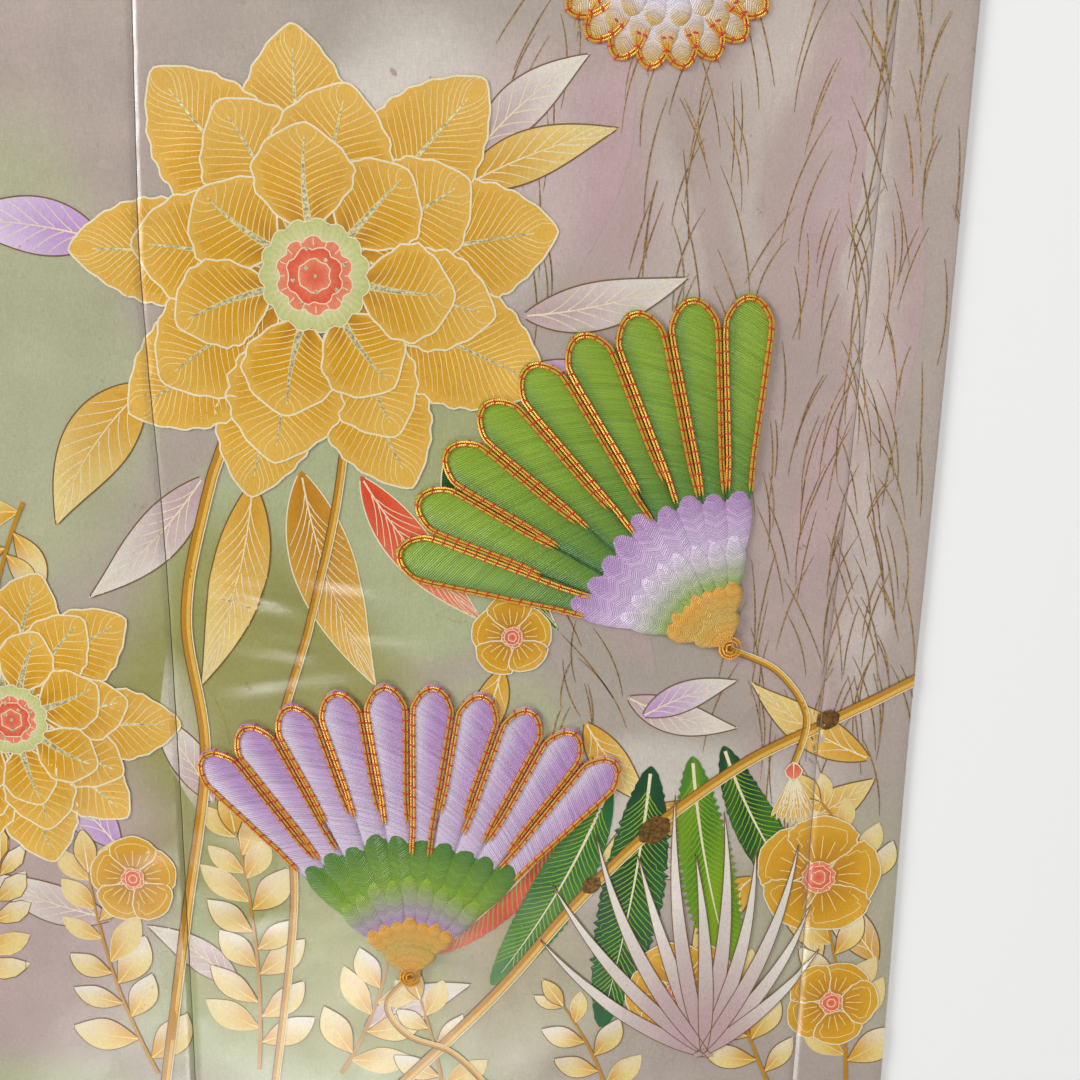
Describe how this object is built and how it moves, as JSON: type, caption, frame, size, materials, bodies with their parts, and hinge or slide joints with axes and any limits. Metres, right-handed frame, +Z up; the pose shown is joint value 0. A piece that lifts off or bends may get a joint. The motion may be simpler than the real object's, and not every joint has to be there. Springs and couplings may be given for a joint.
{
  "type": "furisode",
  "caption": "Long-sleeved silk kimono laid flat, left front closed over the right, collar standing at the back of the neck, raised embroidered fans",
  "frame": {"origin": "centre of the garment's outline on the surface it lies on, at the height of that surface", "axes": "+X towards the wearer's left sleeve, +Y from the hem to the neck, +Z up from the surface, out of the front"},
  "size_m": [1.3402, 1.6622, 0.0573],
  "materials": {
    "silk": "satin silk, hand painted",
    "collar_silk": "satin silk",
    "green_embroidery": "silk floss satin stitch",
    "lilac_embroidery": "silk floss satin stitch"
  },
  "bodies": {
    "root": {"body_left": "silk", "body_right": "silk", "overlap_left": "silk", "overlap_right": "silk", "sleeve_left": "silk", "sleeve_right": "silk", "collar": "collar_silk", "over_collar": "collar_silk", "fan_green": "green_embroidery", "fan_lilac": "lilac_embroidery", "fan_sleeve_left": "lilac_embroidery", "fan_sleeve_right": "green_embroidery"}
  },
  "joints": []
}
